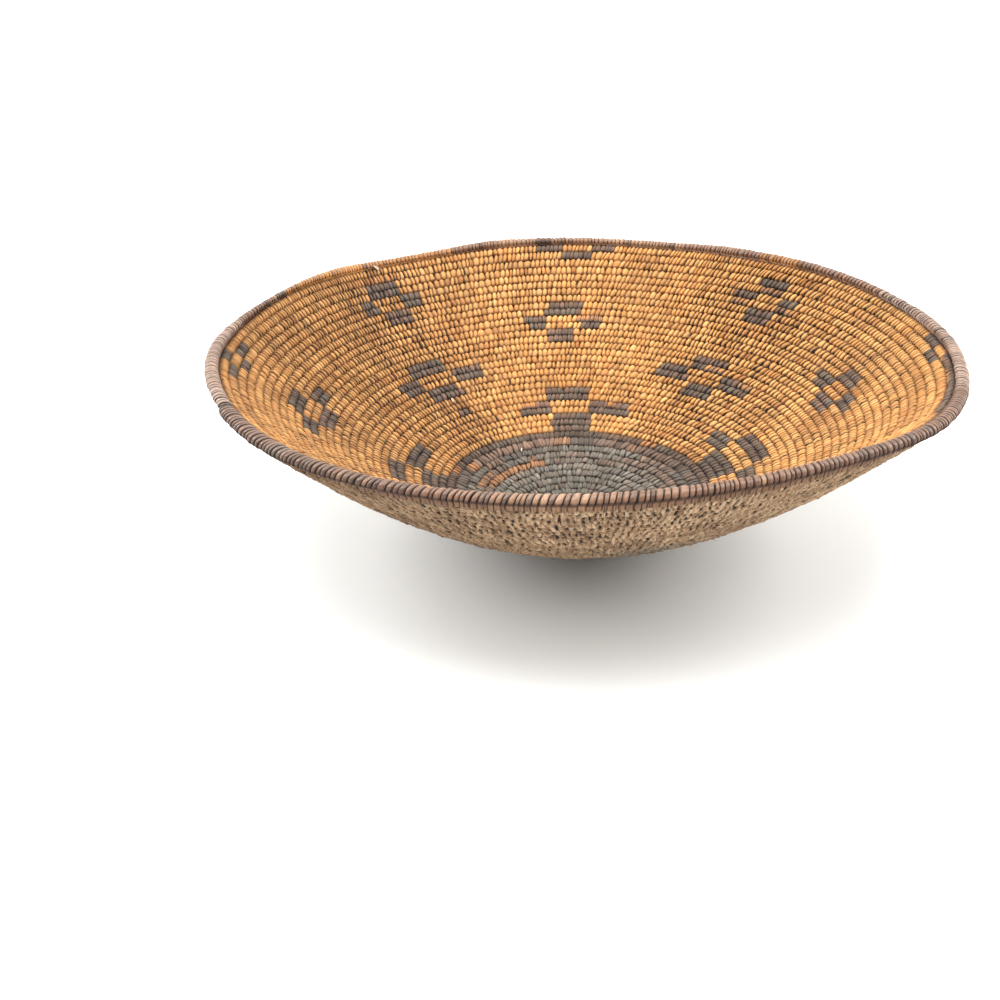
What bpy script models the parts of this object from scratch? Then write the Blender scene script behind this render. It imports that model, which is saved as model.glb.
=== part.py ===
"""Shallow coiled basket bowl.

One continuous coil: a spiral bundle of split stems, sleeved round by round in
sewing splints, from a start knot in the middle of the base to an overcast rim.
Metres, +Z up, origin on the floor under the middle of the rim.
"""

import math

import bmesh
import bpy

MM = 0.001

# ---------------------------------------------------------------- dimensions
# The bowl's inner surface, from the middle of the base out to the rim:
# distance along the surface (mm) and its slope above the horizontal (degrees).
SLOPES = (
    (0.0, 0.0),
    (11.0, 0.0),
    (17.0, 13.5),
    (25.0, 19.0),
    (46.0, 22.2),
    (66.0, 22.7),
    (86.0, 25.5),
    (116.0, 33.5),
    (146.0, 37.4),
    (176.0, 42.3),
    (210.0, 41.8),
)
RIM_DISTANCE = 206.3      # along the surface, middle of the base to the rim groove
FLOOR_Z = 5.2             # inner surface above the floor, in the middle
CREST = 0.35              # the sleeves stand this far inside the groove surface
DEPTH = 5.2               # and reach this far outside it
WORN_FLAT = 0.8           # outer coils lower than this are worn flat on the floor

WALL_ROUNDS = 28
BASE_ROUNDS = 13
FIRST_GROOVE = 1.55       # the rim's lower edge, along the surface from the rim groove
FIRST_ROW = 4.36          # width of the round under the rim
WALL_PITCH = 4.63         # width of a wall round
RIM_WIDENING = 0.92       # rounds grow by this much towards the rim
WIDENING_ROUNDS = 2.6     # over about this many rounds
BASE_PITCH = 4.715        # width of a base round
LOWER_WIDENING = 0.9      # the lowest wall rounds together are this much wider
WIDE_ROUND = 1.5          # and the second round of the base is this much wider

SLEEVE_WALL = 0.6         # thickness of the sewing splints
GAP = 0.3                 # clearance between touching pieces

# The overcast rim coil's cross section: distance up the slope from the rim
# groove and height over the inner surface, clockwise from the inner shoulder.
RIM_SECTION = (
    (0.3, 1.0), (1.9, 1.45), (3.6, 0.6), (4.6, -1.1),
    (4.2, -2.8), (2.2, -3.9), (-1.4, -5.0), (-1.4, 0.1),
)
RIM_BORE = ((0.35, 0.2), (3.1, -0.1), (3.4, -2.4), (-0.6, -4.1))
RIM_HEART = (1.56, -1.6)  # the bundle inside it is the bore drawn in towards this point
RIM_BUNDLE = 0.77         # by this much
RIM_FOOT = (-1.4, -2.0)   # the rim swells and thins away from here
RIM_SWELLS = ((165.0, 22.0, -0.18), (226.0, 20.0, 0.20))    # middle, half width (degrees), by how much

SEAM_DEG = -25.0          # where one round ends and the next begins
RUN_IN_START = 0.611      # share of a round where the coil starts to climb into the rim
SLOW_DRIFT = 0.22         # rounds' inward drift up to there, in rounds

# The rim is a little out of true: waves round the rim, (cosine, sine) in mm.
RADIUS_WAVES = {2: (-1.9, 1.7), 3: (3.0, 0.2), 4: (-0.7, 1.0), 6: (0.3, 1.6), 7: (-1.4, 0.4), 8: (-0.2, -1.0)}
HEIGHT_WAVES = {1: (1.0, 1.0), 3: (-2.1, -0.2), 6: (-0.7, -0.3), 7: (1.0, -0.5)}
LIFTS = ((275.0, 42.0, 0.85), (233.0, 17.0, 1.8), (106.0, 9.0, 0.8), (62.0, 9.0, 0.6))  # local rises: middle, half width, mm
WAVE_HEIGHT = 103.0       # the waves have their full size here and none on the floor
WAVE_POWER = 1.5

WALL_SEGMENTS = 18        # facets in a wide round
BASE_SEGMENTS = 9         # facets in a small round
SMALL_ROUNDS = 4          # how many rounds next to the knot are small
RIM_SEGMENTS = 18
FACET_FIT = 1.004         # lifts the facets' corners so that their mean radius is right


# ------------------------------------------------------------------- profile
def slope_at(distance):
    """Slope of the inner surface, in radians, at a distance from the middle."""
    for (a, sa), (b, sb) in zip(SLOPES, SLOPES[1:]):
        if distance <= b:
            return math.radians(sa + (sb - sa) * (distance - a) / (b - a))
    return math.radians(SLOPES[-1][1])


def make_profile(step=0.1):
    """Radius and height along the inner surface, added up from its slopes."""
    table = [(0.0, FLOOR_Z)]
    count = int(round(SLOPES[-1][0] / step))
    for i in range(count):
        a = slope_at((i + 0.5) * step)
        r, z = table[-1]
        table.append((r + math.cos(a) * step, z + math.sin(a) * step))
    return table, step


PROFILE, PROFILE_STEP = make_profile()


def surface(s, n):
    """Radius and height at s along the surface from the rim groove inwards and
    n along its normal into the bowl (mm)."""
    d = RIM_DISTANCE - s
    a = slope_at(max(d, 0.0))
    x = max(d, 0.0) / PROFILE_STEP
    i = min(int(x), len(PROFILE) - 2)
    f = x - i
    r = PROFILE[i][0] * (1 - f) + PROFILE[i + 1][0] * f
    z = PROFILE[i][1] * (1 - f) + PROFILE[i + 1][1] * f
    return r - n * math.sin(a), z + n * math.cos(a)


def local(angle, spots):
    """The sum of soft bumps round the bowl: (middle, half width, height)."""
    total = 0.0
    for middle, half, height in spots:
        away = (math.degrees(angle) - middle + 180.0) % 360.0 - 180.0
        total += height * math.exp(-((away / half) ** 2))
    return total


def place(r, z, angle):
    """The point at radius r, height z and angle round the bowl, out of true."""
    if z < WORN_FLAT:
        z = 0.0
    w = (min(max(z, 0.0) / WAVE_HEIGHT, 1.3)) ** WAVE_POWER
    dr = sum(c * math.cos(m * angle) + s * math.sin(m * angle) for m, (c, s) in RADIUS_WAVES.items())
    dz = sum(c * math.cos(m * angle) + s * math.sin(m * angle) for m, (c, s) in HEIGHT_WAVES.items())
    dz += local(angle, LIFTS)
    r = (r + w * dr) * FACET_FIT
    z = z + w * dz
    return (r * math.cos(angle) * MM, r * math.sin(angle) * MM, z * MM)


# -------------------------------------------------------------------- spiral
def smooth(x):
    x = min(max(x, 0.0), 1.0)
    return x * x * (3 - 2 * x)


def drift(u):
    """How far a round has moved inwards after the share u of a turn, in rounds."""
    if u <= RUN_IN_START:
        return SLOW_DRIFT * u / RUN_IN_START
    x = (u - RUN_IN_START) / (1 - RUN_IN_START)
    return SLOW_DRIFT + (1 - SLOW_DRIFT) * (0.4 * x + 0.6 * smooth(x))


def groove(x):
    """Distance from the rim groove to groove number x, a real number."""
    if x <= 1.0:
        return FIRST_GROOVE + FIRST_ROW * x
    wall = min(x, float(WALL_ROUNDS)) - 1.0
    s = FIRST_GROOVE + FIRST_ROW + WALL_PITCH * wall
    s += RIM_WIDENING * WIDENING_ROUNDS * (1 - math.exp(-wall / WIDENING_ROUNDS))
    s += LOWER_WIDENING * smooth((x - 22.0) / 4.0)
    if x > WALL_ROUNDS:
        s += BASE_PITCH * (x - WALL_ROUNDS) + WIDE_ROUND * smooth(x - WALL_ROUNDS - 1.0)
    return s


def groove_at(k, u):
    """Groove k at the share u of a turn: it hugs the rim first, then leaves it."""
    hug = FIRST_ROW * SLOW_DRIFT
    if u <= RUN_IN_START:
        hug *= u / RUN_IN_START
    else:
        hug *= 1 - smooth((u - RUN_IN_START) / (0.95 - RUN_IN_START))
    return groove(k + drift(u)) - hug * math.exp(-k / 4.0)


def angle_at(u):
    return math.radians(SEAM_DEG + 360.0 * u)


# ------------------------------------------------------------------- meshing
parts = None


def new_object(name, mesh, colour, roughness, smooth_faces=True):
    material = bpy.data.materials.new(name + "_material")
    material.use_nodes = True
    shader = material.node_tree.nodes["Principled BSDF"]
    shader.inputs["Base Color"].default_value = (*colour, 1.0)
    shader.inputs["Roughness"].default_value = roughness
    shader.inputs["Metallic"].default_value = 0.0
    mesh.materials.append(material)
    if smooth_faces:
        mesh.shade_smooth()
        mesh.set_sharp_from_angle(angle=math.radians(35))
    obj = bpy.data.objects.new(name, mesh)
    parts.objects.link(obj)
    return obj


def loft(name, sections, bores=None):
    """A coil lofted through its cross sections; with bores, a sleeve that is
    open at both ends. Each section is a loop of points, listed clockwise as
    seen along the coil."""
    bm = bmesh.new()
    outer = [[bm.verts.new(p) for p in loop] for loop in sections]
    n = len(sections[0])
    for a, b in zip(outer, outer[1:]):
        for i in range(n):
            j = (i + 1) % n
            bm.faces.new((a[i], a[j], b[j], b[i]))
    if bores is None:
        bm.faces.new(list(reversed(outer[0])))
        bm.faces.new(outer[-1])
    else:
        inner = [[bm.verts.new(p) for p in loop] for loop in bores]
        m = len(bores[0])
        for a, b in zip(inner, inner[1:]):
            for i in range(m):
                j = (i + 1) % m
                bm.faces.new((a[j], a[i], b[i], b[j]))
        each = n // m
        for ring_o, ring_i, flip in ((outer[0], inner[0], True), (outer[-1], inner[-1], False)):
            for i in range(m):
                j = (i + 1) % m
                face = [ring_o[i * each + q] for q in range(each)] + [ring_o[((i + 1) * each) % n]]
                face += [ring_i[j], ring_i[i]]
                bm.faces.new(list(reversed(face)) if flip else face)
    bmesh.ops.recalc_face_normals(bm, faces=bm.faces)
    bmesh.ops.triangulate(bm, faces=[f for f in bm.faces if len(f.verts) > 4], quad_method="FIXED", ngon_method="EAR_CLIP")
    mesh = bpy.data.meshes.new(name)
    bm.to_mesh(mesh)
    bm.free()
    return mesh


def rectangle(s_out, s_in, n_in, n_out, angle):
    """Corners of a coil's cross section between two distances along the surface
    and two heights over it."""
    corners = ((s_out, n_in), (s_in, n_in), (s_in, n_out), (s_out, n_out))
    return [place(*surface(s, n), angle) for s, n in corners]


def between(a, b, f):
    """The cross section a share f of the way along the straight facet from a to b."""
    return [tuple(p + (q - p) * f for p, q in zip(u, v)) for u, v in zip(a, b)]


def shares(k, first, last):
    """Shares of a turn at which round k has a cross section, first and last
    being its ends."""
    small = k > WALL_ROUNDS + BASE_ROUNDS - SMALL_ROUNDS
    count = BASE_SEGMENTS if small else WALL_SEGMENTS
    return [first] + [i / count for i in range(1, count)] + [last]


def coil_round(name, k, colour):
    """The sewing sleeve of round k, counted from the rim inwards."""
    radius = surface(groove(k), 0)[0]
    cut = GAP / 2 / (2 * math.pi * radius)
    outer, bore = [], []
    for u in shares(k, cut, 1 - cut):
        a = angle_at(u)
        so = groove_at(k - 1, u) + GAP / 2
        si = groove_at(k, u) - GAP / 2
        outer.append(rectangle(so, si, CREST, -DEPTH, a))
        w = SLEEVE_WALL
        bore.append(rectangle(so + w, si - w, CREST - w, -DEPTH + w, a))
    # a bore never dips under its own worn-flat sleeve
    bore = [[(x, y, max(z, w * MM)) for x, y, z in loop] for loop in bore]
    return new_object(name, loft(name, outer, bore), colour, 0.62)


def bundle(name):
    """The bundle of stems through every round, one spiral solid."""
    w = SLEEVE_WALL + GAP
    loops = []
    rounds = WALL_ROUNDS + BASE_ROUNDS
    for k in range(1, rounds + 1):
        us = shares(k, 0.0, 1.0)
        if k > 1:
            us = us[1:]
        for u in us:
            a = angle_at(u)
            so = groove_at(k - 1, u) + GAP / 2 + w
            si = groove_at(k, u) - GAP / 2 - w
            loop = rectangle(so, si, CREST - w, -DEPTH + w, a)
            loops.append([(x, y, max(z, w * MM)) for x, y, z in loop])
    # both ends stop a little short, inside their sleeves
    loops[0] = between(loops[0], loops[1], 0.07)
    loops[-1] = between(loops[-1], loops[-2], 0.13)
    return new_object(name, loft(name, loops), (0.42, 0.30, 0.16), 0.8)


def start_knot(name):
    """The start of the coil: a flat knot with the spiral outline of its first turn."""
    k = WALL_ROUNDS + BASE_ROUNDS
    curve = bpy.data.curves.new(name, "CURVE")
    curve.dimensions = "2D"
    curve.fill_mode = "BOTH"
    height = (FLOOR_Z + CREST) * MM
    curve.extrude = height / 2
    spline = curve.splines.new("POLY")
    count = 3 * BASE_SEGMENTS
    points = []
    for i in range(count + 1):
        u = i / count
        r = (surface(groove_at(k, u), 0)[0] - GAP / 2 - 0.05) * FACET_FIT
        # on the chord between the round's own corners
        step = 1.0 / BASE_SEGMENTS
        u0 = math.floor(u / step + 1e-6) * step
        u1 = min(u0 + step, 1.0)
        if u1 - u0 > 1e-6 and u - u0 > 1e-6:
            r0 = (surface(groove_at(k, u0), 0)[0] - GAP / 2 - 0.05) * FACET_FIT
            r1 = (surface(groove_at(k, u1), 0)[0] - GAP / 2 - 0.05) * FACET_FIT
            f = (u - u0) / (u1 - u0)
            x = r0 * math.cos(angle_at(u0)) * (1 - f) + r1 * math.cos(angle_at(u1)) * f
            y = r0 * math.sin(angle_at(u0)) * (1 - f) + r1 * math.sin(angle_at(u1)) * f
            points.append((x, y))
        else:
            points.append((r * math.cos(angle_at(u)), r * math.sin(angle_at(u))))
    # the step where the first round leaves the knot keeps clear of that round's end
    spline.points.add(len(points) - 1)
    for p, (x, y) in zip(spline.points, points):
        p.co = (x * MM, y * MM, 0.0, 1.0)
    spline.use_cyclic_u = True
    outline = bpy.data.objects.new(name + "_outline", curve)
    outline.location = (0.0, 0.0, height / 2)
    parts.objects.link(outline)
    bpy.context.view_layer.update()
    depsgraph = bpy.context.evaluated_depsgraph_get()
    mesh = bpy.data.meshes.new_from_object(outline.evaluated_get(depsgraph))
    mesh.transform(outline.matrix_world)
    bm = bmesh.new()
    bm.from_mesh(mesh)
    bmesh.ops.remove_doubles(bm, verts=bm.verts, dist=0.00002)
    bmesh.ops.recalc_face_normals(bm, faces=bm.faces)
    bm.to_mesh(mesh)
    bm.free()
    bpy.data.objects.remove(outline)
    mesh.name = name
    mesh.materials.clear()
    return new_object(name, mesh, (0.07, 0.055, 0.045), 0.65, smooth_faces=False)


def rim_section(points, angle, draw=1.0):
    """A cross section of the rim coil, swollen or thinned for its place; draw
    below 1 draws it in towards the heart of the bundle."""
    size = 1.0 + local(angle, RIM_SWELLS)
    loop = []
    for up, over in points:
        up = RIM_HEART[0] + draw * (up - RIM_HEART[0])
        over = RIM_HEART[1] + draw * (over - RIM_HEART[1])
        up = RIM_FOOT[0] + size * (up - RIM_FOOT[0])
        if over > -4.9:
            over = RIM_FOOT[1] + (0.5 + 0.5 * size) * (over - RIM_FOOT[1])
        loop.append(place(*surface(-up, over), angle))
    return loop


def rim(name_sleeve, name_core):
    """The overcast rim: a sleeve of splints and the bundle inside it. They are
    open where the coil ends."""
    radius = surface(-2.0, 0)[0]
    cut = GAP / 2 / (2 * math.pi * radius)
    us = [cut] + [i / RIM_SEGMENTS for i in range(1, RIM_SEGMENTS)] + [1 - cut]
    outer = [rim_section(RIM_SECTION, angle_at(u)) for u in us]
    bore = [rim_section(RIM_BORE, angle_at(u)) for u in us]
    new_object(name_sleeve, loft(name_sleeve, outer, bore), (0.10, 0.05, 0.035), 0.4)
    us = [i / RIM_SEGMENTS for i in range(RIM_SEGMENTS + 1)]
    core = [rim_section(RIM_BORE, angle_at(u), RIM_BUNDLE) for u in us]
    core[0] = between(core[0], core[1], 0.1)
    core[-1] = between(core[-1], core[-2], 0.1)
    new_object(name_core, loft(name_core, core), (0.42, 0.30, 0.16), 0.8)


def run_in(name):
    """The tapering coil between the rim and the first round, where the coil
    climbs into the rim."""
    loops = []
    for i in range(WALL_SEGMENTS + 1):
        u = i / WALL_SEGMENTS
        width = groove_at(0, u) - FIRST_GROOVE
        if width < GAP + 0.7:
            continue
        if i == WALL_SEGMENTS:
            u = 1 - GAP / 2 / (2 * math.pi * surface(0, 0)[0])
        a = angle_at(u)
        so = FIRST_GROOVE + GAP / 2
        si = groove_at(0, u) - GAP / 2
        loops.append(rectangle(so, si, CREST - 0.15, -DEPTH + 0.3, a))
    return new_object(name, loft(name, loops), (0.10, 0.05, 0.035), 0.45)


# --------------------------------------------------------------------- build
def main():
    global parts
    for obj in list(bpy.data.objects):
        bpy.data.objects.remove(obj, do_unlink=True)
    parts = bpy.data.collections.new("coiled_basket")
    bpy.context.scene.collection.children.link(parts)

    start_knot("start_knot")
    rounds = WALL_ROUNDS + BASE_ROUNDS
    for number in range(1, BASE_ROUNDS + 1):
        coil_round("base_coil_%02d" % number, rounds + 1 - number, (0.07, 0.055, 0.045))
    for number in range(1, WALL_ROUNDS + 1):
        coil_round("wall_coil_%02d" % number, WALL_ROUNDS + 1 - number, (0.52, 0.27, 0.10))
    bundle("foundation_bundle")
    rim("rim_overcast", "rim_foundation")
    run_in("rim_run_in")

    # the origin goes under the middle of the rim's outer box
    xs, ys = [], []
    for obj in parts.objects:
        for v in obj.data.vertices:
            xs.append(v.co.x)
            ys.append(v.co.y)
    cx, cy = (min(xs) + max(xs)) / 2, (min(ys) + max(ys)) / 2
    for obj in parts.objects:
        for v in obj.data.vertices:
            v.co.x -= cx
            v.co.y -= cy
        obj.data.update()
    print("middle of the rim was at", round(cx * 1000, 4), round(cy * 1000, 4), "mm")


main()
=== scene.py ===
"""Looks of a shallow coiled basket bowl: every sewing stitch of every round, the
overcast rim, the start knot and loose splint ends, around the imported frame."""

import math

import bpy
import numpy as np
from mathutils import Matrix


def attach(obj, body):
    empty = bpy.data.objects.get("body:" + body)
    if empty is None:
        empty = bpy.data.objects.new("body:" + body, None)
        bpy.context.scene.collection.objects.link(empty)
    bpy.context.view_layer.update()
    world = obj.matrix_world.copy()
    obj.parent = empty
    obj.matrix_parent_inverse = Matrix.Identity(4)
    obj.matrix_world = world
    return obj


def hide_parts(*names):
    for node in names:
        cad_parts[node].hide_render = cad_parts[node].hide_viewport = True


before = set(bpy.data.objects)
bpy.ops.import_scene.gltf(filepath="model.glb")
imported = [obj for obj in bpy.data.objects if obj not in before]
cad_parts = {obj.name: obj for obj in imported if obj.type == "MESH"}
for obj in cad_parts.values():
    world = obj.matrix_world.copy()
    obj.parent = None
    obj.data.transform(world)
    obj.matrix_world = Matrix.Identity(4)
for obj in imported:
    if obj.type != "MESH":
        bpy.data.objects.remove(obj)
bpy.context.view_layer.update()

MM = 0.001

# --------------------------------------------------------------- bowl geometry
# The same design sizes as the construction: see the profile and the spiral there.
SLOPES = np.array([
    (0.0, 0.0), (11.0, 0.0), (17.0, 13.5), (25.0, 19.0), (46.0, 22.2), (66.0, 22.7),
    (86.0, 25.5), (116.0, 33.5), (146.0, 37.4), (176.0, 42.3), (210.0, 41.8),
])
RIM_DISTANCE = 206.3
FLOOR_Z = 5.2
WALL_ROUNDS = 28
BASE_ROUNDS = 13
ROUNDS = WALL_ROUNDS + BASE_ROUNDS
FIRST_GROOVE = 1.55
FIRST_ROW = 4.36
WALL_PITCH = 4.63
RIM_WIDENING = 0.92
WIDENING_ROUNDS = 2.6
BASE_PITCH = 4.715
LOWER_WIDENING = 0.9
WIDE_ROUND = 1.5
SEAM_DEG = -25.0
RUN_IN_START = 0.611
SLOW_DRIFT = 0.22
RADIUS_WAVES = {2: (-1.9, 1.7), 3: (3.0, 0.2), 4: (-0.7, 1.0), 6: (0.3, 1.6), 7: (-1.4, 0.4), 8: (-0.2, -1.0)}
HEIGHT_WAVES = {1: (1.0, 1.0), 3: (-2.1, -0.2), 6: (-0.7, -0.3), 7: (1.0, -0.5)}
LIFTS = ((275.0, 42.0, 0.85), (233.0, 17.0, 1.8), (106.0, 9.0, 0.8), (62.0, 9.0, 0.6))
WAVE_HEIGHT = 103.0
WAVE_POWER = 1.5
CENTRE = (1.7928, -0.5544)      # the coil's axis lies here from the rim's middle, mm, reversed

_step = 0.1
_d = np.arange(0, 2101) * _step
_mid = np.radians(np.interp(_d[:-1] + _step / 2, SLOPES[:, 0], SLOPES[:, 1]))
_R = np.concatenate([[0], np.cumsum(np.cos(_mid) * _step)])
_Z = FLOOR_Z + np.concatenate([[0], np.cumsum(np.sin(_mid) * _step)])


def slope_at(d):
    return np.radians(np.interp(d, SLOPES[:, 0], SLOPES[:, 1]))


def surface(s, n):
    """Radius and height at s along the surface from the rim groove inwards, n along its normal."""
    d = RIM_DISTANCE - s
    a = slope_at(np.maximum(d, 0))
    over = np.maximum(d - _d[-1], 0)
    r = np.interp(d, _d, _R) + over * np.cos(a)
    z = np.interp(d, _d, _Z) + over * np.sin(a)
    return r - n * np.sin(a), z + n * np.cos(a)


def local(angle, spots):
    """The sum of soft bumps round the bowl: (middle, half width, height)."""
    degrees = np.degrees(angle)
    total = 0.0
    for middle, half, height in spots:
        away = (degrees - middle + 180.0) % 360.0 - 180.0
        total = total + height * np.exp(-((away / half) ** 2))
    return total


def place(r, z, angle):
    w = np.clip(np.maximum(z, 0) / WAVE_HEIGHT, 0, 1.3) ** WAVE_POWER
    dr = sum(c * np.cos(m * angle) + s * np.sin(m * angle) for m, (c, s) in RADIUS_WAVES.items())
    dz = sum(c * np.cos(m * angle) + s * np.sin(m * angle) for m, (c, s) in HEIGHT_WAVES.items())
    dz = dz + local(angle, LIFTS)
    r = r + w * dr
    z = z + w * dz
    return np.stack([r * np.cos(angle) - CENTRE[0], r * np.sin(angle) - CENTRE[1], z], -1) * MM


def smooth(x):
    x = np.clip(x, 0, 1)
    return x * x * (3 - 2 * x)


def drift(u):
    x = (u - RUN_IN_START) / (1 - RUN_IN_START)
    late = SLOW_DRIFT + (1 - SLOW_DRIFT) * (0.4 * x + 0.6 * smooth(x))
    return np.where(u <= RUN_IN_START, SLOW_DRIFT * u / RUN_IN_START, late)


def groove(x):
    x = np.asarray(x, float)
    wall = np.clip(np.minimum(x, WALL_ROUNDS) - 1.0, 0, None)
    s = FIRST_GROOVE + FIRST_ROW + WALL_PITCH * wall
    s = s + RIM_WIDENING * WIDENING_ROUNDS * (1 - np.exp(-wall / WIDENING_ROUNDS))
    s = s + LOWER_WIDENING * smooth((x - 22.0) / 4.0)
    s = s + BASE_PITCH * np.clip(x - WALL_ROUNDS, 0, None) + WIDE_ROUND * smooth(x - WALL_ROUNDS - 1.0)
    return np.where(x <= 1.0, FIRST_GROOVE + FIRST_ROW * x, s)


def groove_at(k, u):
    hug = FIRST_ROW * SLOW_DRIFT * np.where(
        u <= RUN_IN_START, u / RUN_IN_START, 1 - smooth((u - RUN_IN_START) / (0.95 - RUN_IN_START)))
    return groove(k + drift(u)) - hug * math.exp(-k / 4.0)


def angle_at(u):
    return np.radians(SEAM_DEG + 360.0 * u)


def ripple(rng, u, lo, hi, count=5):
    """A smooth random wave round the bowl, about -1 to 1."""
    out = 0
    for _ in range(count):
        m = rng.integers(lo, hi + 1)
        out = out + np.sin(2 * np.pi * (m * u + rng.random()))
    return out / math.sqrt(count)


# --------------------------------------------------------------------- pattern
# Stepped crosses of dark stitches, row and angle by design: eight stations, every
# 45 degrees. (first row, last row, from, to, finish)
STITCH = 2.95                   # width of a stitch along the coil
DARK, BROWN, DASHED, MIXED, TOPPED = 1, 2, 3, 4, 5
FIGURES = [
    # under the rim, at 0, 90, 180 and 270 degrees
    (1, 1, -0.7, 4.6, DARK), (1, 1, -11.2, -7.2, BROWN), (2, 2, -6, -0.4, DARK),
    (1, 1, 79.7, 84.3, BROWN), (1, 1, 90.7, 95.6, DARK), (2, 2, 84.2, 90.9, DARK),
    (1, 1, 183.3, 188.4, DARK), (2, 2, 176.7, 182, DARK), (2, 2, 188, 193.4, DARK), (3, 3, 182.2, 186.6, DARK),
    (1, 1, 264, 268.5, DARK), (1, 1, 275, 279.5, DARK), (2, 2, 268.5, 275, DARK),
    # the upper figures
    (3, 3, 41.6, 46.9, DARK), (4, 4, 41.4, 46.2, DASHED), (5, 5, 37, 41.4, DARK), (5, 5, 46.7, 52, DARK),
    (6, 6, 36.9, 41.2, DASHED), (6, 6, 47, 51.7, DASHED), (7, 7, 41.4, 47, DARK), (8, 8, 41.6, 46.9, BROWN),
    (3, 3, 126.2, 133.1, DARK), (4, 4, 126.4, 133.7, DARK), (5, 5, 122.3, 126.8, DARK), (5, 5, 133.7, 138.2, DARK),
    (6, 6, 122.2, 127, DARK), (6, 6, 133.6, 138.2, DARK), (7, 7, 126.7, 132.9, BROWN), (8, 8, 126.4, 132.8, BROWN),
    (3, 3, 222.2, 227.6, DARK), (4, 4, 222.4, 227.4, DASHED), (5, 6, 217.8, 222.2, DARK), (5, 6, 227.6, 232.4, DARK),
    (7, 8, 222.3, 227.9, BROWN),
    (3, 4, 312.2, 317.8, DARK), (5, 5, 307.6, 312.4, DARK), (5, 5, 317.6, 322.4, DARK), (6, 6, 307.8, 312.4, DASHED),
    (6, 6, 317.6, 322.4, DASHED), (7, 8, 312.3, 317.9, BROWN),
    # the middle figures
    (9, 9, 8, 14, DARK), (10, 10, 6.6, 14.3, DARK), (11, 11, 1, 7, DARK), (11, 11, 14.3, 20.6, DARK),
    (12, 12, -0.7, 6.2, DARK), (12, 12, 14, 20.1, DARK), (13, 13, 6, 13.8, DARK), (14, 14, 5.9, 13.8, BROWN),
    (9, 9, 86.5, 94, BROWN), (10, 10, 86.1, 95, DARK), (11, 11, 81.2, 87, DASHED), (11, 11, 95, 100.3, DARK),
    (12, 12, 81.2, 86, DARK), (12, 12, 95, 100.1, DARK), (13, 14, 88, 94.8, BROWN),
    (9, 9, 178.4, 186.6, DARK), (10, 10, 177.8, 187.8, DARK), (11, 11, 170, 176.7, DARK), (11, 11, 187, 194, DARK),
    (12, 12, 170, 176, DARK), (12, 12, 186.3, 194, DARK), (13, 13, 175, 186, BROWN), (14, 14, 175.3, 185.3, DARK),
    (9, 10, 265.8, 274.4, DARK), (11, 12, 260, 265.6, DARK), (11, 12, 274.6, 280, DARK), (13, 14, 266.8, 273.8, BROWN),
    # the lower figures
    (15, 15, 43, 52.8, BROWN), (16, 16, 42.8, 48.4, DASHED), (16, 16, 48.4, 53.6, DARK),
    (17, 17, 32.8, 36.4, DASHED), (17, 17, 36.4, 42, BROWN), (17, 17, 53.7, 62.7, DARK),
    (18, 18, 32, 42, DARK), (18, 18, 53.1, 59.7, BROWN), (18, 18, 59.7, 62.7, DARK), (19, 19, 42.5, 52, DARK),
    (20, 20, 42.4, 53, DARK),
    (15, 15, 125.9, 137.7, DARK), (16, 16, 125.4, 138.1, DARK), (17, 17, 116.2, 125.4, DARK),
    (17, 17, 137.5, 145.9, DARK), (18, 18, 115.6, 125.4, DARK), (18, 18, 137, 145.7, DARK),
    (19, 19, 125.6, 137, DARK), (20, 20, 125.4, 137.6, DARK),
    (15, 16, 219.5, 230.5, DARK), (17, 18, 209.5, 219.5, DARK), (17, 18, 230.5, 240, DARK), (19, 20, 219.5, 230.2, DARK),
    (15, 16, 309.5, 320.5, DARK), (17, 18, 299.5, 309.5, DARK), (17, 18, 320.5, 330, DARK), (19, 20, 309.5, 320.2, DARK),
    # the inner figures, joined to the dark centre
    (22, 22, 82.6, 97.3, DARK), (23, 23, 82.2, 97.9, DARK), (24, 24, 67.1, 73, DARK), (24, 24, 73, 82.1, MIXED),
    (24, 24, 97.5, 108, MIXED), (25, 25, 66.4, 82.1, DARK), (25, 25, 97.1, 108.6, DARK),
    (26, 26, 81.8, 96.8, DARK), (27, 28, 80.8, 97.5, DARK),
    (22, 22, -0.7, 18.5, DARK), (23, 23, 0, 19.5, DARK), (24, 24, 20, 30.4, DARK), (24, 24, -9.5, -0.7, DARK),
    (25, 25, 20, 30, DARK), (25, 25, -9.5, -0.4, DARK), (26, 27, 0, 20.6, DARK), (28, 28, 0.7, 20.7, DARK),
    (22, 23, 180.2, 195.4, DARK), (24, 24, 162, 179.3, DARK), (25, 25, 161.8, 178.5, DARK), (24, 25, 195.4, 208, DARK),
    (26, 26, 176.4, 190.7, DARK), (27, 27, 176, 190, DARK), (28, 28, 174, 190, DARK),
    (22, 23, 262, 277.5, DARK), (24, 25, 247, 262, DARK), (24, 25, 277.5, 289, DARK), (26, 28, 262, 278, DARK),
    # one stray block of dark stitches
    (23, 23, 128.2, 132.8, BROWN),
]


def figure_at(k, degrees):
    """What row k is sewn with at these angles: 0 light, or the figure's finish."""
    out = np.zeros(len(degrees), int)
    if k == 0:
        out[((degrees + 34) % 360) < 10] = DARK
    if k == 1:
        # the dark of the rim's start runs a little way into the first row
        out[((degrees + 25) % 360) < 6.5] = DARK
        out[((degrees + 18.5) % 360) < 12.5] = TOPPED
    for k0, k1, a, b, kind in FIGURES:
        if k0 <= k <= k1:
            out[((degrees - a) % 360) < b - a] = kind
    return out


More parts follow.
